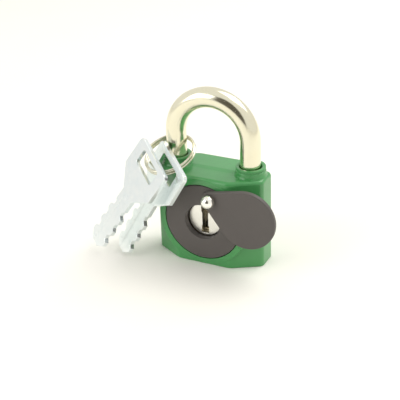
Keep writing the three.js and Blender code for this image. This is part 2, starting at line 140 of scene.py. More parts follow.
class PlugSizes(bpy.types.PropertyGroup):
    radius: length("Radius", 7.7, "Radius of the plug")
    front: length("Front", -9.6, "Place of the plug's face")
    back: length("Back", 3.9, "Place of the plug's back")
    slot_height: length("Slot height", 13.2, "Height of the keyhole")
    slot_wide: length("Slot ends", 3.5, "Width of the keyhole's ends")
    slot_narrow: length("Slot waist", 2.8, "Width of the keyhole's waist")
    waist: length("Waist", 3.4, "Half the height of the waist")


class RingSizes(bpy.types.PropertyGroup):
    radius: length("Radius", 11.2, "Radius of the split ring's middle line")
    wire: length("Wire", 0.6, "Radius of the ring's wire")
    pitch: length("Pitch", 1.4, "Rise of the wire in one turn")
    centre: point("Centre", (-18.62, -4.18, 45.81), "Middle of the ring")
    tilt: vector(
        "Tilt", (-0.1538, -0.3681, 0.917), "Direction of the ring's axis", subtype="XYZ"
    )


class KeySizes(bpy.types.PropertyGroup):
    thickness: length("Thickness", 2, "Thickness of the key")
    bow: length("Bow half", 12.9, "Half the width of the bow")
    top: length("Bow top", 6.3, "Slot's middle to the top of the bow")
    side: length("Bow side", -8.7, "Where the bow's straight sides end")
    neck: length("Neck", -16.9, "Where the neck starts")
    neck_half: length("Neck half", 4.7, "Half the width of the neck")
    neck_length: length("Neck length", 6.5, "Length of the neck")
    tip: length("Tip", -47.3, "Place of the tip")
    deep: length("Deep cut", 3.6, "Half width of the blade at a deep cut")
    tooth: length("Tooth", 5.8, "Half width of the blade at a tooth")
    slot: length("Slot half", 7.4, "Half the length of the slot in the bow")
    slot_height: length("Slot height", 7.4, "Height of the slot in the bow")
    groove: length("Groove", 0.3, "Depth of the groove along each face of the blade")


class FinishColours(bpy.types.PropertyGroup):
    enamel: colour("Enamel", (0.050, 0.270, 0.072), "Green of the cast body")
    enamel_light: colour("Enamel, thin", (0.068, 0.330, 0.095), "Green where the enamel is thinner")
    plastic: colour("Plastic", (0.092, 0.082, 0.077), "Moulded cover and flap")
    nickel: colour("Nickel", (0.84, 0.82, 0.67), "Plated shackle and split ring")
    steel: colour("Steel", (1.0, 0.985, 0.92), "Polished plug and rivet")
    zinc: colour("Zinc", (0.92, 0.94, 0.93), "Zinc plate of the keys")
    spring: colour("Spring steel", (0.42, 0.42, 0.41), "Inner steel pieces")
    brass: colour("Brass", (0.56, 0.49, 0.34), "Cylinder and tumbler plates")
    floor: colour("Floor", (0.93, 0.92, 0.88), "Pale surface that the lock stands on")


class StageSettings(bpy.types.PropertyGroup):
    turn: angle("Turn", 26.55, "Camera's turn to the right of the front")
    tip: angle("Tip", 27.26, "Camera's angle above the floor")
    roll: angle("Roll", -1.95, "Camera's roll")
    distance: length("Distance", 458, "Camera to its target")
    lens: number("Lens", 93.8, "Focal length of the camera, in millimetres", unit="CAMERA")
    target: point("Target", (-7, 0, 23.82), "Point that the camera looks at")
    world: number("Surround", 0.90, "Strength of the pale surround")
    key: number("Key light", 2.4, "Power of the overhead softbox", unit="POWER")
    fill: number("Fill light", 1.8, "Power of the front softbox", unit="POWER")


SETTINGS = {
    "padlock_body": BodySizes,
    "padlock_shackle": ShackleSizes,
    "padlock_cover": CoverSizes,
    "padlock_plug": PlugSizes,
    "padlock_ring": RingSizes,
    "padlock_key": KeySizes,
    "padlock_colours": FinishColours,
    "padlock_stage": StageSettings,
}


# ------------------------------------------------------------- modelling


def mm(*values):
    """Millimetres as a vector in metres."""
    return Vector(values) * MM


def deselect():
    """Leaves object mode with nothing selected."""
    if bpy.context.object and bpy.context.object.mode != "OBJECT":
        bpy.ops.object.mode_set(mode="OBJECT")
    bpy.ops.object.select_all(action="DESELECT")


def activate(piece):
    """Makes the piece the only one selected."""
    deselect()
    piece.select_set(True)
    bpy.context.view_layer.objects.active = piece


def edit(piece=None):
    """Opens the piece's mesh, or the active one's, in edit mode."""
    if piece:
        activate(piece)
    bpy.ops.object.mode_set(mode="EDIT")


def done(name=None):
    """Closes edit mode and returns the piece."""
    bpy.ops.object.mode_set(mode="OBJECT")
    piece = bpy.context.object
    if name:
        piece.name = name
        piece.data.name = name
    return piece


def pick(kind, test):
    """In edit mode, selects the vertices, edges or faces that pass the test."""
    bpy.ops.mesh.select_mode(type=kind)
    bpy.ops.mesh.select_all(action="DESELECT")
    mesh = bpy.context.object.data
    shape = bmesh.from_edit_mesh(mesh)
    for item in {"VERT": shape.verts, "EDGE": shape.edges, "FACE": shape.faces}[kind]:
        if test(item):
            item.select_set(True)
    bmesh.update_edit_mesh(mesh)


def pick_all():
    """In edit mode, selects all of the mesh."""
    bpy.ops.mesh.select_all(action="SELECT")


def settle():
    """Moves the piece's place, turn and scale into its mesh."""
    bpy.ops.object.transform_apply(location=True, rotation=True, scale=True)


def round_edges(reach, segments):
    """In edit mode, rounds the selected edges."""
    bpy.ops.mesh.bevel(offset=reach, segments=segments, affect="EDGES")


def weld():
    """In edit mode, merges doubles and turns the faces outwards."""
    bpy.ops.mesh.select_mode(type="VERT")
    pick_all()
    bpy.ops.mesh.remove_doubles(threshold=WELD)
    bpy.ops.mesh.normals_make_consistent(inside=False)


def lies_at(edge, axis, place):
    """Whether both ends of the edge are at that place along the axis, which is 0, 1 or 2."""
    return all(abs(v.co[axis] - place) < WELD for v in edge.verts)


def draw(points):
    """A line through the points, drawn by extruding one vertex. It stays in edit mode."""
    deselect()
    bpy.ops.mesh.primitive_plane_add(size=MM)
    edit()
    bpy.ops.mesh.merge(type="CENTER")
    bpy.ops.transform.translate(value=points[0])
    for here, there in zip(points, points[1:]):
        bpy.ops.mesh.extrude_vertices_move(TRANSFORM_OT_translate={"value": there - here})


def from_corner(radius, along, steps):
    """Points of a turned profile, each given by its steps out and along from a corner."""
    return [[radius + out, along + on] for out, on in steps]


def lathe(name, profile, centre, axis, steps):
    """A turned solid. The profile's points are [radius, distance along the axis] in millimetres."""
    draw([centre + X * (radius * MM) + axis * (along * MM) for radius, along in profile])
    pick_all()
    bpy.ops.mesh.spin(steps=steps, angle=2 * math.pi, center=centre, axis=axis)
    weld()
    return done(name)


def slab(name, outline, depth):
    """A closed outline made a face and extruded by the depth vector."""
    draw(outline + outline[:1])
    pick_all()
    bpy.ops.mesh.remove_doubles(threshold=WELD)
    pick_all()
    bpy.ops.mesh.edge_face_add()
    bpy.ops.mesh.extrude_region_move(TRANSFORM_OT_translate={"value": depth})
    weld()
    return done(name)


def block(name, low, high):
    """A box between two corners, in millimetres."""
    deselect()
    low, high = mm(*low), mm(*high)
    bpy.ops.mesh.primitive_cube_add(size=1, location=(low + high) / 2, scale=high - low)
    settle()
    bpy.context.object.name = name
    return bpy.context.object


def combine(piece, tool, operation="DIFFERENCE"):
    """Cuts the tool from the piece, or joins it on, and removes the tool."""
    activate(piece)
    change = piece.modifiers.new("Combine", "BOOLEAN")
    change.operation = operation
    change.solver = "EXACT"
    change.object = tool
    bpy.ops.object.modifier_apply(modifier=change.name)
    bpy.data.objects.remove(tool)


def drill(piece, centre, radius, start, end, steps=32):
    """Cuts a round hole along Y, from start to end in millimetres."""
    profile = [[0, start], [radius, start], [radius, end], [0, end]]
    combine(piece, lathe("hole", profile, centre, Y, steps))


def soften(piece, width, limit=30):
    """Bevels every edge that turns by more than the limit. The width is in millimetres."""
    activate(piece)
    bevel = piece.modifiers.new("Soft edges", "BEVEL")
    bevel.width = width * MM
    bevel.segments = 2
    bevel.limit_method = "ANGLE"
    bevel.angle_limit = math.radians(limit)
    bevel.use_clamp_overlap = True
    bpy.ops.object.modifier_apply(modifier=bevel.name)


def finish(piece, body, nodes, material, smooth=40):
    """Shades the piece, gives it its material, and hands it to the body that it moves with."""
    activate(piece)
    bpy.ops.object.shade_smooth_by_angle(angle=math.radians(smooth))
    flats = piece.modifiers.new("Flat faces", "WEIGHTED_NORMAL")
    flats.keep_sharp = True
    bpy.ops.object.modifier_apply(modifier=flats.name)
    settle()
    piece.data.materials.clear()
    piece.data.materials.append(material)
    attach(piece, body)
    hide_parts(*nodes)


def arc(centre, radius, start, end, steps, right=X, up=Z):
    """Points along an arc, with its angles in degrees from right towards up."""
    points = []
    for i in range(steps + 1):
        turn = math.radians(start + (end - start) * i / steps)
        points.append(centre + right * (radius * math.cos(turn)) + up * (radius * math.sin(turn)))
    return points


# ------------------------------------------------------------- materials


class Value:
    """The output of a node. Arithmetic on it adds Math nodes."""

    def __init__(self, maker, socket):
        self.maker = maker
        self.socket = socket

    def _math(self, operation, first, second):
        return self.maker.node("Math", {"operation": operation}, {0: first, 1: second})

    def __add__(self, other):
        return self._math("ADD", self, other)

    def __sub__(self, other):
        return self._math("SUBTRACT", self, other)

    def __rsub__(self, other):
        return self._math("SUBTRACT", other, self)

    def __mul__(self, other):
        return self._math("MULTIPLY", self, other)

    __radd__ = __add__
    __rmul__ = __mul__


class Finish:
    """One material, its shader, and the nodes that feed it."""

    def __init__(self, name, constants):
        self.material = bpy.data.materials.new(name)
        self.material.use_nodes = True
        self.tree = self.material.node_tree
        self.tree.nodes.clear()
        self.shader = self.tree.nodes.new("ShaderNodeBsdfPrincipled")
        output = self.tree.nodes.new("ShaderNodeOutputMaterial")
        self.tree.links.new(self.shader.outputs["BSDF"], output.inputs["Surface"])
        for socket, value in constants.items():
            self.set(socket, value)
        self.place = self.node("TexCoord", output="Object")

    def node(self, kind, settings=None, sockets=None, output=0):
        """Adds a node, sets it up, feeds its sockets and returns one of its outputs."""
        made = self.tree.nodes.new("ShaderNode" + kind)
        for name, value in (settings or {}).items():
            if name == "stops":
                self.stops(made.color_ramp, value)
            else:
                setattr(made, name, value)
        for name, value in (sockets or {}).items():
            self.feed(made.inputs[name], value)
        return Value(self, made.outputs[output])

    def stops(self, ramp, stops):
        """Sets a ramp's stops, each a position and a grey level."""
        while len(ramp.elements) < len(stops):
            ramp.elements.new(0.5)
        for element, (position, level) in zip(ramp.elements, stops):
            element.position = position
            element.color = (level, level, level, 1)

    def feed(self, socket, value):
        """Links a node's output to the socket, or sets the socket's own value."""
        if isinstance(value, Value):
            self.tree.links.new(value.socket, socket)
        else:
            socket.default_value = value

    def set(self, socket, value):
        """Feeds one of the shader's own sockets."""
        self.feed(self.shader.inputs[socket], value)

    def mapped(self, stretch=(1, 1, 1), centre=(0, 0, 0)):
        """Object coordinates, measured from a centre and then stretched."""
        moved = self.node("Mapping", None, {"Vector": self.place, "Location": [-c for c in centre]})
        return self.node("Mapping", None, {"Vector": moved, "Scale": stretch})

    def noise(self, scale, detail=2.0, rough=0.5, stretch=(1, 1, 1)):
        """Cloudy noise, from 0 to 1, with its scale in cells per metre."""
        sockets = {"Vector": self.mapped(stretch), "Scale": scale}
        sockets |= {"Detail": detail, "Roughness": rough}
        return self.node("TexNoise", None, sockets)

    def ramp(self, value, *stops):
        """The value passed through a ramp of grey levels."""
        return self.node("ValToRGB", {"stops": stops}, {"Fac": value})

    def mix(self, factor, first, second):
        """A colour between two others. The numbers are the Mix node's colour sockets."""
        sockets = {0: factor, 6: rgba(first), 7: rgba(second)}
        return self.node("Mix", {"data_type": "RGBA"}, sockets, output=2)

    def bump(self, height, depth):
        """Raises the surface by the height, from 0 to 1, times the depth in millimetres."""
        sockets = {"Height": height, "Distance": depth * MM, "Strength": 1.0}
        self.set("Normal", self.node("Bump", None, sockets))


def rgba(value):
    """A colour as four numbers."""
    return (*value, 1)


def once(name, make):
    """The material of that name, made the first time that it is asked for."""
    return bpy.data.materials.get(name) or make(name, bpy.context.scene.padlock_colours)


def glossy_enamel(name, colours):
    made = Finish(name, {"Coat Roughness": 0.05, "Specular IOR Level": 0.5})
    clouds = made.noise(90, detail=3)
    peel = made.noise(700, detail=2)
    specks = made.ramp(made.noise(2600, detail=1), (0.68, 0), (0.76, 1))
    made.set("Base Color", made.mix(clouds, colours.enamel, colours.enamel_light))
    made.set("Roughness", 0.24 + 0.12 * made.noise(260, detail=4) + 0.2 * specks)
    made.set("Coat Weight", 0.35 - 0.2 * specks)
    made.bump(peel + 0.15 * specks, 0.03)
    return made.material


def moulded_plastic(name, colours):
    made = Finish(name, {"Specular IOR Level": 0.45})
    clouds = made.noise(120, detail=4)
    grain = made.noise(3200, detail=2, rough=0.6)
    rubs = made.noise(500, detail=5, rough=0.7, stretch=(1, 1, 3))
    scuffs = made.ramp(rubs, (0.62, 0), (0.75, 1))
    lighter = [1.25 * c for c in colours.plastic]
    made.set("Base Color", made.mix(clouds * 0.6 + scuffs * 0.3, colours.plastic, lighter))
    made.set("Roughness", 0.42 + 0.12 * grain - 0.08 * scuffs)
    made.bump(grain, 0.02)
    return made.material


def plated_bar(name, colours):
    made = Finish(name, {"Metallic": 1.0})
    clouds = made.noise(140, detail=3)
    lines = made.noise(900, detail=3, rough=0.6, stretch=(1, 6, 0.3))
    scratches = made.ramp(lines, (0.6, 0), (0.72, 1))
    pits = made.ramp(made.noise(1800, detail=1), (0.70, 0), (0.78, 1))
    warmer = [c * w for c, w in zip(colours.nickel, (1.0, 0.96, 0.88))]
    made.set("Base Color", made.mix(clouds, colours.nickel, warmer))
    made.set("Roughness", 0.13 + 0.08 * clouds + 0.10 * scratches + 0.15 * pits)
    made.bump(1 - 0.5 * scratches - pits, 0.006)
    return made.material


def ring_wire(name, colours):
    made = Finish(name, {"Metallic": 1.0})
    clouds = made.noise(400, detail=3)
    drawn = made.noise(2500, detail=2)
    darker = [0.72 * c for c in colours.nickel]
    made.set("Base Color", made.mix(clouds, colours.nickel, darker))
    made.set("Roughness", 0.2 + 0.12 * drawn)
    made.bump(drawn, 0.006)
    return made.material


def turned_steel(name, colours):
    made = Finish(name, {"Metallic": 1.0})
    sizes = bpy.context.scene.padlock_body
    settings = {"wave_type": "RINGS", "rings_direction": "Y"}
    centred = made.mapped(centre=(0, 0, sizes.lock_height))
    sockets = {"Vector": centred, "Scale": 700, "Distortion": 0.6, "Detail": 2}
    rings = made.node("TexWave", settings, sockets, output=1)
    clouds = made.noise(300, detail=3)
    darker = [0.85 * c for c in colours.steel]
    made.set("Base Color", made.mix(clouds, colours.steel, darker))
    made.set("Roughness", 0.24 + 0.08 * rings + 0.06 * clouds)
    made.bump(rings, 0.004)
    return made.material


def ball_steel(name, colours):
    made = Finish(name, {"Metallic": 1.0})
    clouds = made.noise(500, detail=3)
    pits = made.ramp(made.noise(2400, detail=1), (0.66, 0), (0.74, 1))
    darker = [0.8 * c for c in colours.steel]
    made.set("Base Color", made.mix(pits, colours.steel, darker))
    made.set("Roughness", 0.14 + 0.1 * clouds + 0.1 * pits)
    made.bump(1 - pits, 0.008)
    return made.material


def plated_key(name, colours):
    made = Finish(name, {"Metallic": 1.0})
    spangle = made.node("TexVoronoi", None, {"Vector": made.mapped(), "Scale": 420})
    clouds = made.noise(220, detail=4)
    rolled = made.noise(900, detail=3, rough=0.6, stretch=(0.4, 3, 3))
    darker = [c * d for c, d in zip(colours.zinc, (0.86, 0.91, 0.94))]
    made.set("Base Color", made.mix(clouds * 0.7 + spangle * 0.4, colours.zinc, darker))
    made.set("Roughness", 0.16 + 0.12 * clouds + 0.06 * rolled)
    made.bump(rolled + 0.3 * clouds, 0.010)
    return made.material


def oiled_steel(name, colours):
    made = Finish(name, {"Metallic": 1.0})
    clouds = made.noise(300, detail=4)
    oil = made.ramp(made.noise(150, detail=3), (0.4, 0), (0.65, 1))
    darker = [0.7 * c for c in colours.spring]
    made.set("Base Color", made.mix(clouds * 0.5 + oil * 0.5, colours.spring, darker))
    made.set("Roughness", 0.34 + 0.14 * clouds - 0.08 * oil)
    made.bump(clouds, 0.006)
    return made.material


def cylinder_brass(name, colours):
    made = Finish(name, {"Metallic": 1.0})
    clouds = made.noise(260, detail=4)
    cuts = made.noise(1500, detail=2, rough=0.5, stretch=(0.3, 4, 0.3))
    tarnish = [c * t for c, t in zip(colours.brass, (0.7, 0.62, 0.5))]
    made.set("Base Color", made.mix(clouds, colours.brass, tarnish))
    made.set("Roughness", 0.3 + 0.12 * clouds + 0.06 * cuts)
    made.bump(cuts, 0.006)
    return made.material


def pale_floor(name, colours):
    made = Finish(name, {"Specular IOR Level": 0.2})
    clouds = made.noise(12, detail=3)
    warmer = [c * w for c, w in zip(colours.floor, (1.0, 0.985, 0.96))]
    made.set("Base Color", made.mix(clouds, colours.floor, warmer))
    made.set("Roughness", 0.75 + 0.1 * clouds)
    return made.material


# ---------------------------------------------------------------- pieces

# Fits that more than one piece has, in millimetres and degrees.
PIN_ANGLES = (160, 340)
PIN_CIRCLE = 14.5
PIN_HOLE = 1.3
SHANK_PLAY = 0.3

# Steps out and along from a corner of a turned profile, in millimetres.
PLATFORM_EDGE = ((0, 0.45), (-0.13, 0.14), (-0.45, 0))
BORE_MOUTH = ((0, -0.5), (0.15, -0.2), (0.45, 0), (0.45, CLEAR))
BOSS_STEPS = (
    (0.45, -8), (0.6, -3.9), (0.35, -3.3), (0.12, -2.9), (0.1, -1.75), (-0.02, -1.55),
    (-0.28, -1.42), (-0.3, -1.1), (-0.2, -0.95), (0, -0.8), (0, -0.35), (-0.1, -0.1), (-0.35, 0),
)
COVER_MOUTH = ((0, 0.5), (0.12, 0.18), (0.45, 0))
COVER_RIM = ((-0.5, 0), (-0.15, 0.13), (0, 0.45))
PLUG_EDGE = ((-0.35, 0), (-0.1, 0.1), (0, 0.35))

# The rivet's peened end, as radius and place along its axis, in millimetres.
RIVET_PEEN = ((2.3, -9.8), (2.25, -9.5), (2.0, -9.2), (0, -9.2))

# Rooms inside the body, each from its low corner to its high one, in millimetres.
BOLT_ROOM = ((-8, 4.4, 13.5), (9.6, 8.2, 38.2))
NOSE_ROOM = ((3.9, -2.5, 33.2), (13.4, 8.2, 38.2))


def pin_places(lock):
    """The middles of the cover's two pins, round the keyhole."""
    return [lock + arc(Vector(), PIN_CIRCLE * MM, turn, turn, 1)[0] for turn in PIN_ANGLES]


class PADLOCK_OT_body(bpy.types.Operator):
    """Builds the cast body with its platform, bosses and rooms"""

    bl_idname = "padlock.body"
    bl_label = "Cast Body"

    def execute(self, context):
        sizes = context.scene.padlock_body
        piece = self.casting(sizes)
        self.join_platform(piece, sizes)
        for side in (-1, 1):
            self.join_boss(piece, sizes, side)
        self.cut_rooms(piece, sizes)
        enamel = once("glossy_enamel", glossy_enamel)
        finish(piece, "lock_body", ["body_casting"], enamel, smooth=35)
        return {"FINISHED"}

    def casting(self, sizes):
        """An eight-sided block with a low ridge along its top and rounded edges."""
        deselect()
        x, y, top = sizes.width / 2, sizes.depth / 2, sizes.height
        bpy.ops.mesh.primitive_cube_add(size=1, location=(0, 0, top / 2), scale=(2 * x, 2 * y, top))
        settle()
        edit()
        corner = Vector((sizes.flat / 2, y, 0))
        normal = Vector((y - sizes.side / 2, x - sizes.flat / 2, 0)).normalized()
        for sx in (-1, 1):
            for sy in (-1, 1):
                turn = Matrix.Diagonal((sx, sy, 1))
                pick_all()
                bpy.ops.mesh.bisect(
                    plane_co=turn @ corner,
                    plane_no=turn @ normal,
                    use_fill=True,
                    clear_outer=True,
                    threshold=WELD,
                )
        pick_all()
        bpy.ops.mesh.bisect(plane_co=(0, 0, 0), plane_no=(0, 1, 0), threshold=WELD)

        def is_seam(edge):
            return lies_at(edge, 1, 0)

        def is_upright(edge):
            a, b = (v.co for v in edge.verts)
            return abs(a.z - b.z) > top / 2 and not is_seam(edge)

        def is_rim(edge):
            return all(v.co.z > top - WELD for v in edge.verts) and not is_seam(edge)

        pick("EDGE", is_upright)
        round_edges(sizes.edge_round, segments=5)
        pick("VERT", lambda v: v.co.z > top - WELD and abs(v.co.y) < WELD)
        bpy.ops.transform.translate(value=(0, 0, sizes.ridge))
        pick("EDGE", is_rim)
        round_edges(sizes.top_round, segments=6)
        pick("EDGE", lambda edge: lies_at(edge, 2, 0) and not is_seam(edge))
        round_edges(sizes.foot_round, segments=4)
        weld()
        return done("body_shell")

    def join_platform(self, piece, sizes):
        """The round platform that the weather cover is let into."""
        root = -4
        radius = sizes.platform / MM
        front = (-sizes.depth / 2 - sizes.platform_proud) / MM
        profile = [[0, root], [radius, root]]
        profile += [*from_corner(radius, front, PLATFORM_EDGE), [0, front]]
        platform = lathe("platform", profile, Z * sizes.lock_height, Y, steps=128)
        combine(piece, platform, "UNION")

    def join_boss(self, piece, sizes, side):
        """The two-stepped rim round one shackle leg."""
        top = sizes.boss_top / MM
        rim = from_corner(sizes.boss / MM, top, BOSS_STEPS)
        root = rim[0][1]
        boss = lathe("boss", [[0, root], *rim, [0, top]], X * (side * sizes.boss_x), Z, steps=80)
        combine(piece, boss, "UNION")

    def cut_rooms(self, piece, sizes):
        """The recess, the shackle bores, the bolt's room and the pin holes."""
        lock = Z * sizes.lock_height
        front, ledge, floor, back = -14.4, -10.6, -8.7, 4.6
        cover, collar, cylinder = 17.7, 16.3, 11.7
        recess = [[0, front], [cover, front], [cover, ledge], [collar, ledge], [collar, floor]]
        recess += [[cylinder, floor], [cylinder, back], [0, back]]
        combine(piece, lathe("recess", recess, lock, Y, steps=128))

        bore, rim = sizes.bore / MM, sizes.boss_top / MM
        heel_floor, toe_floor = 4, 31
        for side, end in ((-1, heel_floor), (1, toe_floor)):
            profile = [[0, end], [bore, end]]
            profile += [*from_corner(bore, rim, BORE_MOUTH), [0, rim + CLEAR]]
            combine(piece, lathe("bore", profile, X * (side * sizes.boss_x), Z, steps=72))
        combine(piece, block("bolt_room", *BOLT_ROOM))
        combine(piece, block("nose_room", *NOSE_ROOM))

        heel_pin = mm(-21.4, 0, 30)
        drill(piece, heel_pin, radius=1.1, start=-3.3, end=24)
        for centre in pin_places(lock):
            drill(piece, centre, PIN_HOLE, start=-11.9, end=-5.4)


class PADLOCK_OT_shackle(bpy.types.Operator):
    """Builds the round shackle bar with its neck and its bolt notch"""

    bl_idname = "padlock.shackle"
    bl_label = "Shackle"

    def execute(self, context):
        sizes = context.scene.padlock_shackle
        piece = self.bar(sizes)
        low, high = 15.2, 31.3
        neck, outside = sizes.neck / MM, sizes.radius / MM + CLEAR
        groove = [[neck, low], [outside, low], [outside, high], [neck, high], [neck, low]]
        combine(piece, lathe("neck", groove, X * -sizes.leg, Z, steps=48))
        combine(piece, block("notch", (11.8, -6, 33.3), (16.0, 6, 38.1)))
        nickel = once("plated_bar", plated_bar)
        finish(piece, "shackle_bar", ["shackle"], nickel)
        return {"FINISHED"}

    def bar(self, sizes):
        """A round bar, from the heel's end over the bow to the toe's end."""
        deselect()
        bpy.ops.mesh.primitive_circle_add(
            vertices=48,
            radius=sizes.radius,
            fill_type="NGON",
            location=(-sizes.leg, 0, sizes.heel),
        )
        settle()
        edit()
        pick_all()
        rise = Z * (sizes.crown - sizes.heel)
        bpy.ops.mesh.extrude_region_move(TRANSFORM_OT_translate={"value": rise})
        bpy.ops.mesh.spin(steps=64, angle=math.pi, center=Z * sizes.crown, axis=-Y)
        fall = Z * (sizes.toe - sizes.crown)
        bpy.ops.mesh.extrude_region_move(TRANSFORM_OT_translate={"value": fall})
        weld()
        ends, end_round = (sizes.heel, sizes.toe), 0.5 * MM
        pick("EDGE", lambda edge: any(lies_at(edge, 2, end) for end in ends))
        round_edges(end_round, segments=3)
        weld()
        return done("shackle_bar")


class PADLOCK_OT_cover(bpy.types.Operator):
    """Builds the moulded weather cover round the keyhole"""

    bl_idname = "padlock.cover"
    bl_label = "Weather Cover"

    def execute(self, context):
        sizes = context.scene.padlock_cover
        lock = Z * context.scene.padlock_body.lock_height
        radius, mouth, hub = sizes.radius / MM, sizes.mouth / MM, sizes.hub / MM
        front, back, hub_back = sizes.front / MM, sizes.back / MM, sizes.hub_back / MM
        mouth_edge = from_corner(mouth, front, COVER_MOUTH)
        profile = mouth_edge + from_corner(radius, front, COVER_RIM)
        profile += [[radius, back], [hub, back], [hub, hub_back], [mouth, hub_back], mouth_edge[0]]
        piece = lathe("cover_disc", profile, lock, Y, steps=128)

        pivot = Vector((sizes.pivot_x, 0, sizes.pivot_z))
        shank = sizes.shank / MM + SHANK_PLAY
        drill(piece, pivot, shank, front - CLEAR, back + CLEAR, steps=40)
        for centre in pin_places(lock):
            drill(piece, centre, PIN_HOLE, start=-12.2, end=back + CLEAR)
        plastic = once("moulded_plastic", moulded_plastic)
        finish(piece, "lock_body", ["weather_cover"], plastic)
        return {"FINISHED"}


class PADLOCK_OT_shutter(bpy.types.Operator):
    """Builds the drop-shaped shutter flap"""

    bl_idname = "padlock.shutter"
    bl_label = "Shutter Flap"

    def execute(self, context):
        sizes = context.scene.padlock_cover
        front, back = sizes.flap_front, sizes.flap_back
        front_round, back_round = 0.4 * MM, 0.15 * MM
        pivot = Vector((sizes.pivot_x, 0, sizes.pivot_z))
        piece = slab("shutter_plate", self.outline(sizes, pivot + Y * back), Y * (front - back))
        edit(piece)
        pick("EDGE", lambda edge: lies_at(edge, 1, front))
        round_edges(front_round, segments=3)
        pick("EDGE", lambda edge: lies_at(edge, 1, back))
        round_edges(back_round, segments=2)
        weld()
        piece = done()
        drill(piece, pivot, sizes.shank / MM + SHANK_PLAY, start=-17, end=-12, steps=40)
        plastic = once("moulded_plastic", moulded_plastic)
        finish(piece, "shutter", ["shutter_flap"], plastic)
        return {"FINISHED"}

    def outline(self, sizes, start):
        """The drop shape: an arc round the pivot and an arc round the disc, joined by tangents."""
        along = X * math.cos(sizes.open_angle) + Z * math.sin(sizes.open_angle)
        over = Z * math.cos(sizes.open_angle) - X * math.sin(sizes.open_angle)
        spread = math.degrees(math.acos((sizes.disc - sizes.head) / sizes.reach))
        head = arc(start, sizes.head, 180 - spread, 180 + spread, 20, along, over)
        middle = start + along * sizes.reach
        disc = arc(middle, sizes.disc, spread - 180, 180 - spread, 96, along, over)
        return head + disc


class PADLOCK_OT_rivet(bpy.types.Operator):
    """Builds the ball-headed pivot rivet"""

    bl_idname = "padlock.rivet"
    bl_label = "Pivot Rivet"

    def execute(self, context):
        sizes = context.scene.padlock_cover
        ball, middle, shank = sizes.ball / MM, sizes.ball_y / MM, sizes.shank / MM
        gap, flat, steps = 0.3, 0.75, 28
        seat = sizes.flap_front / MM - gap
        first = math.degrees(math.asin(flat / ball))
        last = 90 + math.degrees(math.asin((seat - middle) / ball))
        profile = [[0, middle - math.sqrt(ball**2 - flat**2)]]
        for i in range(steps + 1):
            turn = math.radians(first + (last - first) * i / steps)
            profile.append([ball * math.sin(turn), middle - ball * math.cos(turn)])
        profile += [[shank, seat], [shank, RIVET_PEEN[0][1]], *RIVET_PEEN]
        pivot = Vector((sizes.pivot_x, 0, sizes.pivot_z))
        piece = lathe("rivet_ball", profile, pivot, Y, steps=64)
        steel = once("ball_steel", ball_steel)
        finish(piece, "lock_body", ["pivot_rivet"], steel)
        return {"FINISHED"}


class PADLOCK_OT_plug(bpy.types.Operator):
    """Builds the polished plug with its keyhole and tumbler rooms"""

    bl_idname = "padlock.plug"
    bl_label = "Lock Plug"

    def execute(self, context):
        sizes = context.scene.padlock_plug
        lock = Z * context.scene.padlock_body.lock_height
        piece = self.barrel(sizes, lock)
        combine(piece, self.keyhole(sizes, lock))
        self.cut_rooms(piece, lock.z / MM)
        self.join_drive(piece, sizes.back / MM, lock.z / MM)
        soften(piece, width=0.08)
        steel = once("turned_steel", turned_steel)
        finish(piece, "plug", ["lock_plug"], steel)
        return {"FINISHED"}

    def barrel(self, sizes, lock):
        """The turned barrel with a groove for its clip."""
        radius, front, back = sizes.radius / MM, sizes.front / MM, sizes.back / MM
        low, high, depth = 2.6, 3.5, 1.1
        groove = radius - depth
        profile = [[0, front], *from_corner(radius, front, PLUG_EDGE)]
        profile += [[radius, low], [groove, low], [groove, high], [radius, high]]
        profile += [[radius, back], [0, back]]
        return lathe("plug_barrel", profile, lock, Y, steps=96)

    def keyhole(self, sizes, lock):
        """The cutter for the keyhole, which is narrower at its waist."""
        high, wide, narrow = sizes.slot_height / 2, sizes.slot_wide / 2, sizes.slot_narrow / 2
        lead, wall, slope = MM, 1.6 * MM, 0.3 * MM
        outer, inner = sizes.waist, sizes.waist - slope
        side = [(wide, -high), (wide, -outer), (narrow, -inner)]
        side += [(narrow, inner), (wide, outer), (wide, high)]
        start = Y * (sizes.front - lead)
        outline = [lock + X * x + Z * z + start for x, z in side]
        outline += [lock - X * x - Z * z + start for x, z in side]
        return slab("keyhole", outline, Y * (sizes.back - wall - sizes.front + lead))

    def cut_rooms(self, piece, height):
        """The rooms that the five tumbler plates slide in."""
        first, pitch = -6.4, 1.8
        wide, thick, high = 3, 0.75, 9
        for i in range(5):
            y = first + pitch * i
            low_corner = (-wide, y - thick, height - high)
            combine(piece, block("room", low_corner, (wide, y + thick, height + high)))

    def join_drive(self, piece, back, height):
        """The square on the plug's back that turns the cam."""
        half, root, length_out = 2, 0.5, 1
        low_corner = (-half, back - root, height - half)
        high_corner = (half, back + length_out, height + half)
        combine(piece, block("drive", low_corner, high_corner), "UNION")


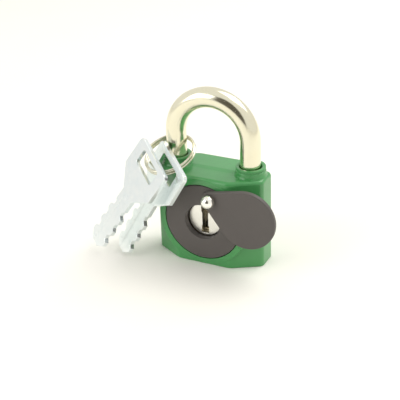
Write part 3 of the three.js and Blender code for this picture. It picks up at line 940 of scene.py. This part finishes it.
class PADLOCK_OT_ring(bpy.types.Operator):
    """Builds the two-turn split ring round the heel leg"""

    bl_idname = "padlock.ring"
    bl_label = "Split Ring"

    def execute(self, context):
        sizes = context.scene.padlock_ring
        turns, steps = 2, 80
        deselect()
        bpy.ops.mesh.primitive_circle_add(
            vertices=16,
            radius=sizes.wire,
            location=(-sizes.radius, 0, 0),
            rotation=(math.pi / 2, 0, 0),
        )
        settle()
        piece = bpy.context.object
        coil = piece.modifiers.new("Coil", "SCREW")
        coil.angle = 2 * math.pi
        coil.screw_offset = sizes.pitch
        coil.iterations = turns
        coil.steps = steps
        coil.render_steps = steps
        bpy.ops.object.modifier_apply(modifier=coil.name)
        edit(piece)
        pick_all()
        bpy.ops.mesh.fill_holes(sides=0)
        pick_all()
        bpy.ops.transform.translate(value=Z * (-sizes.pitch * turns / 2))
        weld()
        piece = done("ring_coil")
        turn = Z.rotation_difference(Vector(sizes.tilt))
        piece.matrix_world = Matrix.Translation(sizes.centre) @ turn.to_matrix().to_4x4()
        soften(piece, width=0.12, limit=50)
        wire = once("ring_wire", ring_wire)
        finish(piece, "ring", ["split_ring"], wire)
        return {"FINISHED"}


# Where each key hangs: the middle of its slot in millimetres, and the directions of its
# width and of its bow. The width is then turned square to the bow.
KEY_PLACES = {
    "key_front": {
        "body": "front_key",
        "at": (-24.02, -14.18, 42.76),
        "across": (0.7142, -0.5826, -0.3879),
        "up": (0.548, 0.1207, 0.8277),
    },
    "key_rear": {
        "body": "rear_key",
        "at": (-15.04, -12.93, 42.72),
        "across": (0.7127, -0.6229, -0.3225),
        "up": (0.481, 0.0993, 0.8711),
    },
}

# Millimetres that each cut is shallower than the deepest one. None stands for a tooth.
BITTING = (0, None, 0.8, None, 0.4, None)
FLAT_SHARE = (0.2, 0.85)  # where the flat of a cut or tooth starts and ends in its pitch


class PADLOCK_OT_keys(bpy.types.Operator):
    """Builds the two flat keys that hang from the ring"""

    bl_idname = "padlock.keys"
    bl_label = "Keys"

    def execute(self, context):
        first = self.blank(context.scene.padlock_key)
        for node, place in KEY_PLACES.items():
            piece = first.copy()
            piece.data = first.data.copy()
            piece.name = node + "_plate"
            piece.data.name = piece.name
            context.scene.collection.objects.link(piece)
            up = Vector(place["up"]).normalized()
            face = Vector(place["across"]).cross(up).normalized()
            across = up.cross(face)
            turn = Matrix((across, up, face)).transposed().to_4x4()
            piece.matrix_world = Matrix.Translation(mm(*place["at"])) @ turn
            zinc = once("plated_key", plated_key)
            finish(piece, place["body"], [node], zinc)
        bpy.data.objects.remove(first)
        return {"FINISHED"}

    def side(self, sizes):
        """The right-hand side of the key, from the top of the bow to the tip."""
        corner, tip_length, tip_half = 2 * MM, 3 * MM, 2.2 * MM
        points = arc(Vector((sizes.bow - corner, sizes.top - corner, 0)), corner, 90, 0, 6, X, Y)
        points += [Vector((sizes.bow, sizes.side, 0)), Vector((sizes.neck_half, sizes.neck, 0))]
        start = sizes.neck - sizes.neck_length
        points.append(Vector((sizes.neck_half, start, 0)))
        pitch = (sizes.tip + tip_length - start) / len(BITTING)
        for i, cut in enumerate(BITTING):
            half = sizes.tooth if cut is None else sizes.deep + cut * MM
            points += [Vector((half, start + pitch * (i + share), 0)) for share in FLAT_SHARE]
        points.append(Vector((tip_half, sizes.tip, 0)))
        return points

    def blank(self, sizes):
        """One key, flat, with the middle of its slot at the origin."""
        right = self.side(sizes)
        left = [Vector((-p.x, p.y, 0)) for p in reversed(right)]
        lift = Z * (-sizes.thickness / 2)
        piece = slab("key_blank", [p + lift for p in right + left], Z * sizes.thickness)
        self.cut_slot(piece, sizes)
        self.cut_grooves(piece, sizes)
        soften(piece, width=0.18)
        return piece

    def cut_slot(self, piece, sizes):
        """The slot across the bow, with round corners."""
        radius, reach = 1.2 * MM, 2 * MM
        x, y = sizes.slot - radius, sizes.slot_height / 2 - radius
        outline = []
        for sx, sy, start in ((1, 1, 0), (-1, 1, 90), (-1, -1, 180), (1, -1, 270)):
            corner = Vector((sx * x, sy * y, -reach))
            outline += arc(corner, radius, start, start + 90, 6, X, Y)
        combine(piece, slab("slot", outline, Z * (2 * reach)))

    def cut_grooves(self, piece, sizes):
        """One groove along each face of the blade."""
        depth, top = sizes.groove / MM, sizes.thickness / MM / 2
        half, tip_end, neck_end = 1.7, -48.5, -20
        for low, high in ((top - depth, top + CLEAR), (-top - CLEAR, -top + depth)):
            combine(piece, block("groove", (-half, tip_end, low), (half, neck_end, high)))


class PADLOCK_OT_inner_pieces(bpy.types.Operator):
    """Gives the inner pieces their finishes"""

    bl_idname = "padlock.inner_pieces"
    bl_label = "Inner Pieces"

    def execute(self, context):
        steel = ["shackle_spring", "spring_seat", "heel_pin", "cover_pin_1", "cover_pin_2"]
        steel += ["rivet_washer", "plug_clip", "lock_cam", "locking_bolt"]
        brass = ["cylinder_housing"] + [f"tumbler_plate_{i}" for i in range(1, 6)]
        self.coat(steel, once("oiled_steel", oiled_steel))
        self.coat(brass, once("cylinder_brass", cylinder_brass))
        return {"FINISHED"}

    def coat(self, nodes, material):
        """Gives the CAD's own pieces the material."""
        for node in nodes:
            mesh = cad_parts[node].data
            mesh.materials.clear()
            mesh.materials.append(material)


# ----------------------------------------------------------------- stage

FLOOR_SIZE = 6
SOFTBOX_SIZE = 0.5
SENSOR = 36  # width of the camera's sensor, in millimetres
LAMP_AIM = mm(0, 0, 35)

# The place and tint of each softbox.
OVERHEAD = ((0.22, 0.30, 0.62), (1.0, 0.985, 0.95))
FRONT_FILL = ((-0.45, -0.55, 0.40), (1.0, 1.0, 1.0))

# The surround is pale but for a dark patch. The patch's edge lies between two cosines of
# the angle from its middle.
PATCH_DIRECTION = (0.081, -0.924, 0.375)
PATCH_EDGE = (0.865, 0.885)
PALE = (1.0, 0.99, 0.955, 1)
DARK = (0.12, 0.11, 0.09, 1)


class PADLOCK_OT_stage(bpy.types.Operator):
    """Sets the floor, the soft lights and the camera"""

    bl_idname = "padlock.stage"
    bl_label = "Stage"

    def execute(self, context):
        settings = context.scene.padlock_stage
        self.floor()
        self.surround(context, settings.world)
        self.softbox(context, "Overhead", settings.key, *OVERHEAD)
        self.softbox(context, "Front fill", settings.fill, *FRONT_FILL)
        self.camera(context, settings)
        context.scene.view_settings.view_transform = "Standard"
        return {"FINISHED"}

    def floor(self):
        """A wide pale floor at the lock's foot."""
        deselect()
        bpy.ops.mesh.primitive_grid_add(x_subdivisions=4, y_subdivisions=4, size=FLOOR_SIZE)
        piece = bpy.context.object
        piece.name = "floor"
        piece.data.materials.append(once("pale_floor", pale_floor))

    def surround(self, context, strength):
        """A pale surround with a dark patch behind the camera, which the bright metal reflects."""
        world = bpy.data.worlds.new("Surround")
        context.scene.world = world
        world.use_nodes = True
        tree = world.node_tree
        background = tree.nodes["Background"]
        place = tree.nodes.new("ShaderNodeTexCoord")
        toward = tree.nodes.new("ShaderNodeVectorMath")
        toward.operation = "DOT_PRODUCT"
        toward.inputs[1].default_value = PATCH_DIRECTION
        ramp = tree.nodes.new("ShaderNodeValToRGB")
        for stop, position, tint in zip(ramp.color_ramp.elements, PATCH_EDGE, (PALE, DARK)):
            stop.position = position
            stop.color = tint
        tree.links.new(place.outputs["Generated"], toward.inputs[0])
        tree.links.new(toward.outputs["Value"], ramp.inputs["Fac"])
        tree.links.new(ramp.outputs["Color"], background.inputs["Color"])
        background.inputs["Strength"].default_value = strength

    def softbox(self, context, name, power, place, tint):
        """A square light that faces the lock."""
        lamp = bpy.data.lights.new(name, "AREA")
        lamp.shape = "SQUARE"
        lamp.size = SOFTBOX_SIZE
        lamp.energy = power
        lamp.color = tint
        holder = bpy.data.objects.new(name, lamp)
        context.scene.collection.objects.link(holder)
        holder.location = place
        aim = LAMP_AIM - Vector(place)
        holder.rotation_euler = aim.to_track_quat("-Z", "Y").to_euler()

    def camera(self, context, settings):
        """The camera, at its distance from the target, turned, tipped and rolled."""
        lens = bpy.data.cameras.new("Camera")
        lens.lens = settings.lens
        lens.sensor_width = SENSOR
        holder = bpy.data.objects.new("Camera", lens)
        context.scene.collection.objects.link(holder)
        turn, tip, roll = settings.turn, settings.tip, settings.roll
        ahead = Vector(
            (-math.sin(turn) * math.cos(tip), math.cos(turn) * math.cos(tip), -math.sin(tip))
        )
        right = Vector((math.cos(turn), math.sin(turn), 0))
        up = right.cross(ahead)
        rolled_right = right * math.cos(roll) + up * math.sin(roll)
        rolled_up = up * math.cos(roll) - right * math.sin(roll)
        axes = Matrix((rolled_right, rolled_up, -ahead)).transposed().to_4x4()
        place = Vector(settings.target) - ahead * settings.distance
        holder.matrix_world = Matrix.Translation(place) @ axes
        context.scene.camera = holder


# ----------------------------------------------------------------- panel

STEPS = [
    PADLOCK_OT_body,
    PADLOCK_OT_shackle,
    PADLOCK_OT_cover,
    PADLOCK_OT_shutter,
    PADLOCK_OT_rivet,
    PADLOCK_OT_plug,
    PADLOCK_OT_ring,
    PADLOCK_OT_keys,
    PADLOCK_OT_inner_pieces,
    PADLOCK_OT_stage,
]


class PADLOCK_PT_panel(bpy.types.Panel):
    """Lists the padlock's pieces"""

    bl_idname = "PADLOCK_PT_panel"
    bl_label = "Padlock"
    bl_space_type = "VIEW_3D"
    bl_region_type = "UI"
    bl_category = "Padlock"

    def draw(self, context):
        for step in STEPS:
            self.layout.operator(step.bl_idname)
        for name in SETTINGS:
            group = getattr(context.scene, name)
            box = self.layout.box()
            for prop in group.bl_rna.properties:
                if prop.identifier not in {"rna_type", "name"}:
                    box.prop(group, prop.identifier)


def register():
    for group in SETTINGS.values():
        bpy.utils.register_class(group)
    for name, group in SETTINGS.items():
        setattr(bpy.types.Scene, name, bpy.props.PointerProperty(type=group))
    for step in STEPS:
        bpy.utils.register_class(step)
    bpy.utils.register_class(PADLOCK_PT_panel)


def unregister():
    bpy.utils.unregister_class(PADLOCK_PT_panel)
    for step in reversed(STEPS):
        bpy.utils.unregister_class(step)
    for name, group in reversed(SETTINGS.items()):
        delattr(bpy.types.Scene, name)
        bpy.utils.unregister_class(group)


def main():
    """Builds the padlock."""
    register()
    for step in STEPS:
        family, name = step.bl_idname.split(".")
        getattr(getattr(bpy.ops, family), name)()


if __name__ == "__main__":
    main()
